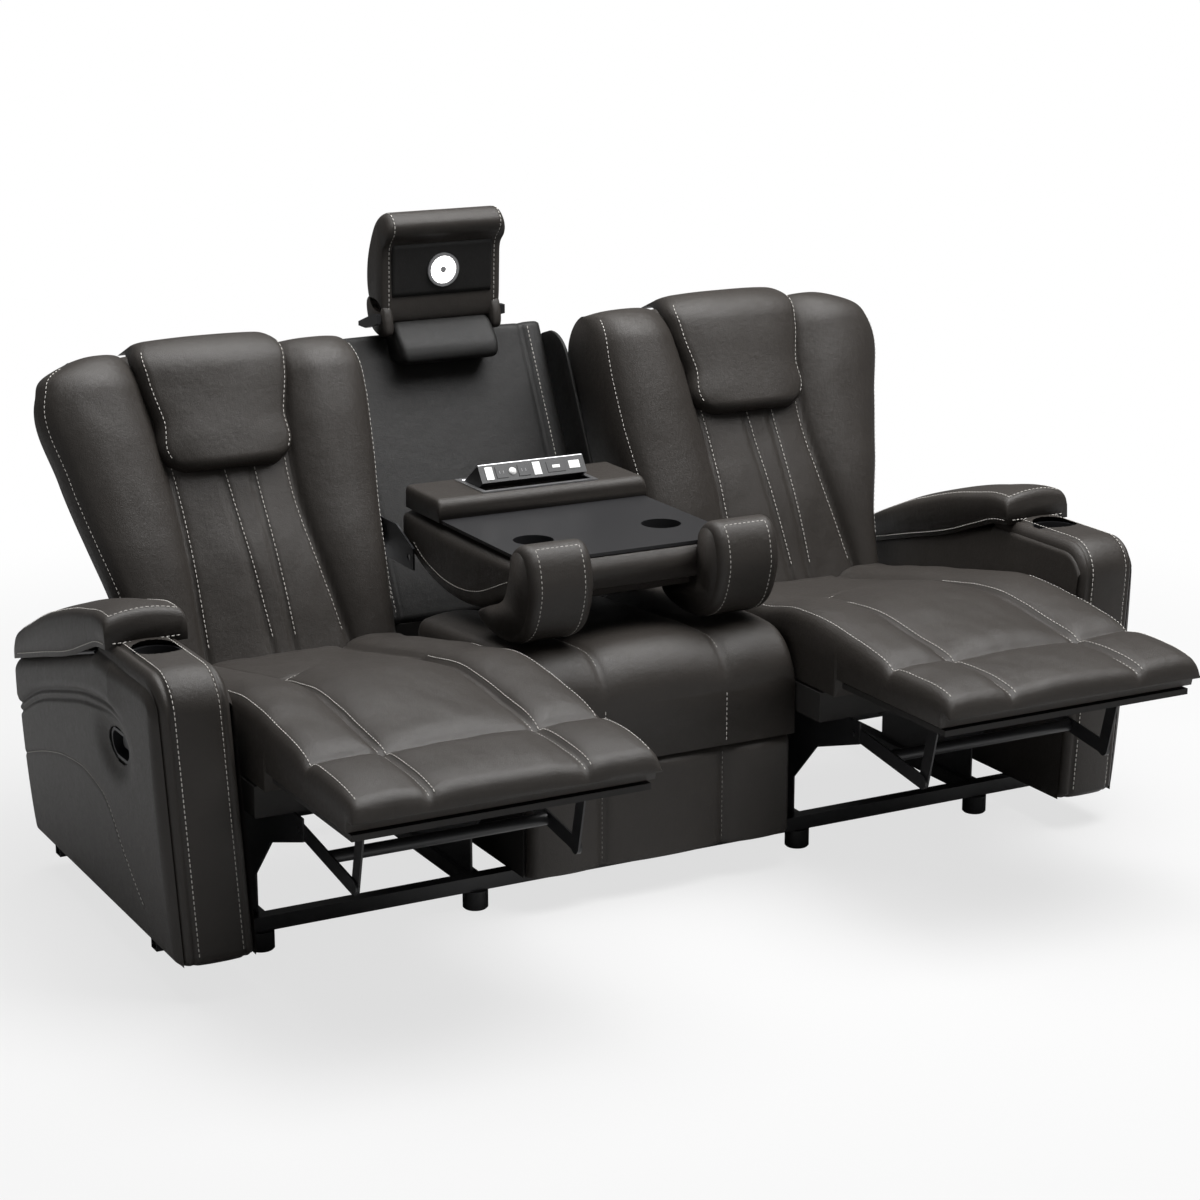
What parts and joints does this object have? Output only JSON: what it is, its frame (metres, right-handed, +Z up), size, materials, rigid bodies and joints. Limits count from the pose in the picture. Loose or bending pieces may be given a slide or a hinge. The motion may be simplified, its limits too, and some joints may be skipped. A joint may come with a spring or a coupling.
{
  "type": "recliner sofa",
  "caption": "Three-seat reclining sofa with folding footrests, tilting backs, a drop-down cup-holder console with pop-up power strip, a flip-up reading lamp head pad and lidded arm storage.",
  "frame": {"origin": "floor level under the middle of the sofa's box, with the footrests out and the head pad raised", "axes": "+X to the viewer's right, -Y to the front, +Z up"},
  "size_m": [2.234, 1.7181, 1.2983],
  "materials": {
    "upholstery": "satin",
    "black_vinyl": "satin",
    "black_steel": "satin",
    "plain_wood": "matte",
    "webbing": "matte",
    "black_plastic": "satin",
    "white_plastic": "gloss",
    "grey_plastic": "satin",
    "satin_aluminium": "brushed",
    "bare_steel": "brushed",
    "lamp_lens": "gloss"
  },
  "bodies": {
    "frame": {"base_cross_rails": "black_steel", "base_side_rails": "black_steel", "glide_feet": "black_plastic", "seat_side_boards": "plain_wood", "seat_end_boards": "plain_wood", "center_seat_frame": "plain_wood", "center_front_panel": "upholstery", "seat_webbing": "webbing", "left_seat_cushion": "upholstery", "right_seat_cushion": "upholstery", "center_seat_cushion": "upholstery", "mechanism_plates": "black_steel", "back_hinges": "black_steel", "left_arm_inner_side": "upholstery", "right_arm_inner_side": "upholstery", "left_arm_outer_side": "upholstery", "right_arm_outer_side": "upholstery", "left_arm_front": "upholstery", "right_arm_front": "upholstery", "arm_rear_boards": "upholstery", "arm_storage_bins": "black_plastic", "arm_cup_holders": "black_plastic", "lid_hinge_pins": "bare_steel", "handle_bezels": "black_plastic", "center_back_panel": "black_vinyl", "console_brackets": "bare_steel", "headrest_tongue": "upholstery", "headrest_hinge": "black_steel"},
    "left_back": {"left_back_frame": "upholstery", "left_back_cushion": "upholstery", "left_head_pillow": "upholstery"},
    "left_footrest": {"left_footrest_board": "plain_wood", "left_footrest_lugs": "black_steel", "left_footrest_pad": "upholstery"},
    "left_lower_links": {"left_lower_links": "black_steel"},
    "left_front_links": {"left_front_links": "black_steel"},
    "left_lid": {"left_arm_lid": "upholstery"},
    "left_handle": {"left_release_handle": "black_plastic"},
    "right_back": {"right_back_frame": "upholstery", "right_back_cushion": "upholstery", "right_head_pillow": "upholstery"},
    "right_footrest": {"right_footrest_board": "plain_wood", "right_footrest_lugs": "black_steel", "right_footrest_pad": "upholstery"},
    "right_lower_links": {"right_lower_links": "black_steel"},
    "right_front_links": {"right_front_links": "black_steel"},
    "right_lid": {"right_arm_lid": "upholstery"},
    "right_handle": {"right_release_handle": "black_plastic"},
    "console": {"console_body": "upholstery", "console_horns": "upholstery", "console_tray": "black_plastic", "tray_cups": "black_plastic", "console_power_box": "upholstery", "power_strip_frame": "satin_aluminium"},
    "power_strip": {"power_strip_module": "black_plastic", "power_strip_outlets": "white_plastic"},
    "headrest": {"headrest_pad": "upholstery", "lamp_bezel": "grey_plastic", "lamp_lens": "lamp_lens"},
    "lamp_button": {"lamp_button": "grey_plastic"}
  },
  "joints": [
    {"name": "left_footrest_fold", "type": "hinge", "parent": "frame", "child": "left_footrest", "pos_m": [-0.6145, -0.457, 0.434], "axis": [1, 0, 0], "range_deg": [0, 80]},
    {"name": "left_lower_link_swing", "type": "hinge", "parent": "frame", "child": "left_lower_links", "pos_m": [-0.6145, -0.427, 0.312], "axis": [1, 0, 0], "range_deg": [0, 80]},
    {"name": "left_front_link_swing", "type": "hinge", "parent": "left_lower_links", "child": "left_front_links", "pos_m": [-0.6145, -0.667, 0.278], "axis": [1, 0, 0], "range_deg": [-80, 0]},
    {"name": "left_back_recline", "type": "hinge", "parent": "frame", "child": "left_back", "pos_m": [-0.613, 0.41333, 0.44483], "axis": [-1, 0, 0], "range_deg": [0, 22]},
    {"name": "left_lid_hinge", "type": "hinge", "parent": "frame", "child": "left_lid", "pos_m": [-1.103, -0.08594, 0.60386], "axis": [0, -0.9646, 0.2639], "range_deg": [0, 85]},
    {"name": "left_handle_pull", "type": "hinge", "parent": "frame", "child": "left_handle", "pos_m": [-1.07578, -0.199, 0.44181], "axis": [-0.0599, 0, 0.9982], "range_deg": [0, 28], "stiffness_Nm_per_rad": 0.4},
    {"name": "right_footrest_fold", "type": "hinge", "parent": "frame", "child": "right_footrest", "pos_m": [0.6145, -0.457, 0.434], "axis": [1, 0, 0], "range_deg": [0, 80]},
    {"name": "right_lower_link_swing", "type": "hinge", "parent": "frame", "child": "right_lower_links", "pos_m": [0.6145, -0.427, 0.312], "axis": [1, 0, 0], "range_deg": [0, 80]},
    {"name": "right_front_link_swing", "type": "hinge", "parent": "right_lower_links", "child": "right_front_links", "pos_m": [0.6145, -0.667, 0.278], "axis": [1, 0, 0], "range_deg": [-80, 0]},
    {"name": "right_back_recline", "type": "hinge", "parent": "frame", "child": "right_back", "pos_m": [0.613, 0.41333, 0.44483], "axis": [-1, 0, 0], "range_deg": [0, 22]},
    {"name": "right_lid_hinge", "type": "hinge", "parent": "frame", "child": "right_lid", "pos_m": [1.103, -0.08594, 0.60386], "axis": [0, 0.9646, -0.2639], "range_deg": [0, 85]},
    {"name": "right_handle_pull", "type": "hinge", "parent": "frame", "child": "right_handle", "pos_m": [1.07578, -0.199, 0.44181], "axis": [-0.0599, 0, -0.9982], "range_deg": [0, 28], "stiffness_Nm_per_rad": 0.4},
    {"name": "console_fold", "type": "hinge", "parent": "frame", "child": "console", "pos_m": [0, 0.338, 0.59], "axis": [1, 0, 0], "range_deg": [-63, 0]},
    {"name": "power_strip_lift", "type": "hinge", "parent": "console", "child": "power_strip", "pos_m": [0, 0.348, 0.734], "axis": [-1, 0, 0], "range_deg": [-35, 0]},
    {"name": "headrest_fold", "type": "hinge", "parent": "frame", "child": "headrest", "pos_m": [0, 0.733, 1.038], "axis": [1, 0, 0], "range_deg": [0, 105]},
    {"name": "lamp_button_press", "type": "slide", "parent": "headrest", "child": "lamp_button", "axis": [0, 0.9965, 0.084], "range_m": [0, 0.0015], "stiffness_N_per_m": 400}
  ],
  "couplings": [
    {"joint": "left_lower_link_swing", "follows": "left_footrest_fold", "ratio": 1},
    {"joint": "left_front_link_swing", "follows": "left_footrest_fold", "ratio": -1},
    {"joint": "right_lower_link_swing", "follows": "right_footrest_fold", "ratio": 1},
    {"joint": "right_front_link_swing", "follows": "right_footrest_fold", "ratio": -1}
  ]
}
